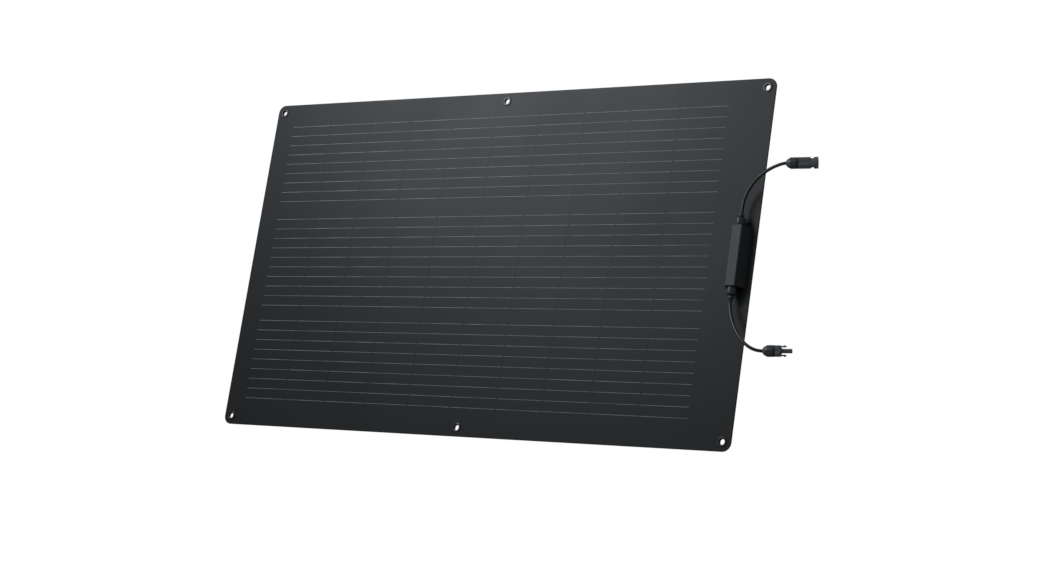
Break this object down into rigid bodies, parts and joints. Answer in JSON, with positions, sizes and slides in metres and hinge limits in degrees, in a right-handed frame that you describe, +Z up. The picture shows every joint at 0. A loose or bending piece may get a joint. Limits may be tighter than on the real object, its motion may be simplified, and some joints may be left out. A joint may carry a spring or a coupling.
{
  "type": "flexible solar sheet",
  "caption": "Thin bendable solar laminate with eyelets round its edge, a bonded junction box near one end and two cables that end in latching plugs.",
  "frame": {"origin": "centre of the sheet's back face", "axes": "+X along the long side towards the junction box, +Z up along the short side, the sun side faces -Y"},
  "size_m": [1.1529, 0.0339, 0.612],
  "materials": {
    "front_film": "satin, finely textured",
    "backsheet": "matte",
    "encapsulant": "clear set glue, seen as dark",
    "core_board": "glass-fibre board",
    "silicon": "dark, smooth",
    "tinned_ribbon": "tinned, dull silver",
    "eyelet": "black, satin",
    "seal_rubber": "matte",
    "box_plastic": "matte",
    "lid_plastic": "satin",
    "terminal_brass": "bare",
    "diode_case": "glossy",
    "potting_compound": "smooth",
    "cable_jacket": "satin",
    "copper_wire": "tinned copper strands",
    "connector_plastic": "satin",
    "tinned_contact": "tinned"
  },
  "bodies": {
    "segment_01": {"core_strip_01": "core_board", "cell_column_01": "silicon", "left_eyelets": "eyelet", "left_eyelet_washers": "eyelet", "left_bus_ribbons": "tinned_ribbon"},
    "segment_02": {"core_strip_02": "core_board", "cell_column_02": "silicon"},
    "segment_03": {"core_strip_03": "core_board", "cell_column_03": "silicon"},
    "segment_04": {"core_strip_04": "core_board", "cell_column_04": "silicon"},
    "segment_05": {"core_strip_05": "core_board", "cell_column_05": "silicon"},
    "segment_06": {"core_strip_06": "core_board", "cell_column_06": "silicon", "middle_eyelets": "eyelet", "middle_eyelet_washers": "eyelet", "backsheet": "backsheet", "rear_encapsulant": "encapsulant", "front_encapsulant": "encapsulant", "front_film": "front_film", "string_ribbons": "tinned_ribbon"},
    "segment_07": {"core_strip_07": "core_board", "cell_column_07": "silicon"},
    "segment_08": {"core_strip_08": "core_board", "cell_column_08": "silicon"},
    "segment_09": {"core_strip_09": "core_board", "cell_column_09": "silicon"},
    "segment_10": {"core_strip_10": "core_board", "cell_column_10": "silicon", "right_eyelets": "eyelet", "right_eyelet_washers": "eyelet", "right_bus_ribbons": "tinned_ribbon", "adhesive_pad": "seal_rubber", "box_base": "box_plastic", "box_gasket": "seal_rubber", "box_lid": "lid_plastic", "terminal_plates": "terminal_brass", "bypass_diode": "diode_case", "potting": "potting_compound", "gland_nuts": "box_plastic", "gland_sleeves": "seal_rubber", "upper_cable_root": "cable_jacket", "lower_cable_root": "cable_jacket", "upper_cable_wire": "copper_wire", "lower_cable_wire": "copper_wire"},
    "upper_cable": {"upper_cable_run": "cable_jacket"},
    "lower_cable": {"lower_cable_run": "cable_jacket"},
    "socket_connector": {"upper_cable_end": "cable_jacket", "socket_body": "connector_plastic", "socket_contact": "tinned_contact", "socket_seal": "seal_rubber"},
    "plug_connector": {"lower_cable_end": "cable_jacket", "plug_body": "connector_plastic", "plug_contact": "tinned_contact", "plug_seal": "seal_rubber"},
    "socket_nut": {"socket_cap_nut": "connector_plastic"},
    "plug_nut": {"plug_cap_nut": "connector_plastic"},
    "upper_latch": {"upper_latch_arm": "connector_plastic"},
    "lower_latch": {"lower_latch_arm": "connector_plastic"}
  },
  "joints": [
    {"name": "sheet_bend_1", "type": "hinge", "parent": "segment_02", "child": "segment_01", "pos_m": [-0.3928, -0.00072, 0], "axis": [0, 0, -1], "range_deg": [-4, 25]},
    {"name": "sheet_bend_2", "type": "hinge", "parent": "segment_03", "child": "segment_02", "pos_m": [-0.2996, -0.00072, 0], "axis": [0, 0, -1], "range_deg": [-4, 25]},
    {"name": "sheet_bend_3", "type": "hinge", "parent": "segment_04", "child": "segment_03", "pos_m": [-0.2064, -0.00072, 0], "axis": [0, 0, -1], "range_deg": [-4, 25]},
    {"name": "sheet_bend_4", "type": "hinge", "parent": "segment_05", "child": "segment_04", "pos_m": [-0.1132, -0.00072, 0], "axis": [0, 0, -1], "range_deg": [-4, 25]},
    {"name": "sheet_bend_5", "type": "hinge", "parent": "segment_06", "child": "segment_05", "pos_m": [-0.02, -0.00072, 0], "axis": [0, 0, -1], "range_deg": [-4, 25]},
    {"name": "sheet_bend_6", "type": "hinge", "parent": "segment_06", "child": "segment_07", "pos_m": [0.0732, -0.00072, 0], "axis": [0, 0, 1], "range_deg": [-4, 25], "deforming": ["backsheet", "rear_encapsulant", "front_encapsulant", "front_film", "string_ribbons"]},
    {"name": "sheet_bend_7", "type": "hinge", "parent": "segment_07", "child": "segment_08", "pos_m": [0.1664, -0.00072, 0], "axis": [0, 0, 1], "range_deg": [-4, 25]},
    {"name": "sheet_bend_8", "type": "hinge", "parent": "segment_08", "child": "segment_09", "pos_m": [0.2596, -0.00072, 0], "axis": [0, 0, 1], "range_deg": [-4, 25]},
    {"name": "sheet_bend_9", "type": "hinge", "parent": "segment_09", "child": "segment_10", "pos_m": [0.3528, -0.00072, 0], "axis": [0, 0, 1], "range_deg": [-4, 25]},
    {"name": "upper_cable_swing", "type": "hinge", "parent": "segment_10", "child": "upper_cable", "pos_m": [0.501, -0.0145, 0.08], "axis": [0, 1, 0], "range_deg": [-35, 35], "deforming": ["upper_cable_wire"]},
    {"name": "upper_cable_lift", "type": "hinge", "parent": "upper_cable", "child": "socket_connector", "pos_m": [0.54368, -0.02401, 0.14369], "axis": [-0.4344, 0, 0.9007], "range_deg": [-60, 45]},
    {"name": "socket_nut_turn", "type": "hinge", "parent": "socket_connector", "child": "socket_nut", "pos_m": [0.58495, -0.0226, 0.15436], "axis": [0.9354, 0.3404, 0.0958], "continuous": true},
    {"name": "lower_cable_swing", "type": "hinge", "parent": "segment_10", "child": "lower_cable", "pos_m": [0.501, -0.0145, -0.07], "axis": [0, -1, 0], "range_deg": [-35, 35], "deforming": ["lower_cable_wire"]},
    {"name": "lower_cable_lift", "type": "hinge", "parent": "lower_cable", "child": "plug_connector", "pos_m": [0.54504, -0.02973, -0.13935], "axis": [0.5898, 0, 0.8075], "range_deg": [-60, 45]},
    {"name": "plug_nut_turn", "type": "hinge", "parent": "plug_connector", "child": "plug_nut", "pos_m": [0.58495, -0.0226, -0.14854], "axis": [0.9354, 0.3404, 0.0958], "continuous": true},
    {"name": "latch_squeeze_upper", "type": "hinge", "parent": "plug_connector", "child": "upper_latch", "pos_m": [0.60186, -0.01644, -0.13978], "axis": [-0.342, 0.9397, 0], "range_deg": [0, 12], "stiffness_Nm_per_rad": 0.02},
    {"name": "latch_squeeze_lower", "type": "hinge", "parent": "plug_connector", "child": "lower_latch", "pos_m": [0.60312, -0.01598, -0.15371], "axis": [0.342, -0.9397, 0], "range_deg": [0, 12], "stiffness_Nm_per_rad": 0.02}
  ],
  "couplings": [
    {"joint": "sheet_bend_1", "follows": "sheet_bend_6", "ratio": 1},
    {"joint": "sheet_bend_2", "follows": "sheet_bend_6", "ratio": 1},
    {"joint": "sheet_bend_3", "follows": "sheet_bend_6", "ratio": 1},
    {"joint": "sheet_bend_4", "follows": "sheet_bend_6", "ratio": 1},
    {"joint": "sheet_bend_5", "follows": "sheet_bend_6", "ratio": 1},
    {"joint": "sheet_bend_7", "follows": "sheet_bend_6", "ratio": 1},
    {"joint": "sheet_bend_8", "follows": "sheet_bend_6", "ratio": 1},
    {"joint": "sheet_bend_9", "follows": "sheet_bend_6", "ratio": 1},
    {"joint": "latch_squeeze_lower", "follows": "latch_squeeze_upper", "ratio": 1}
  ]
}
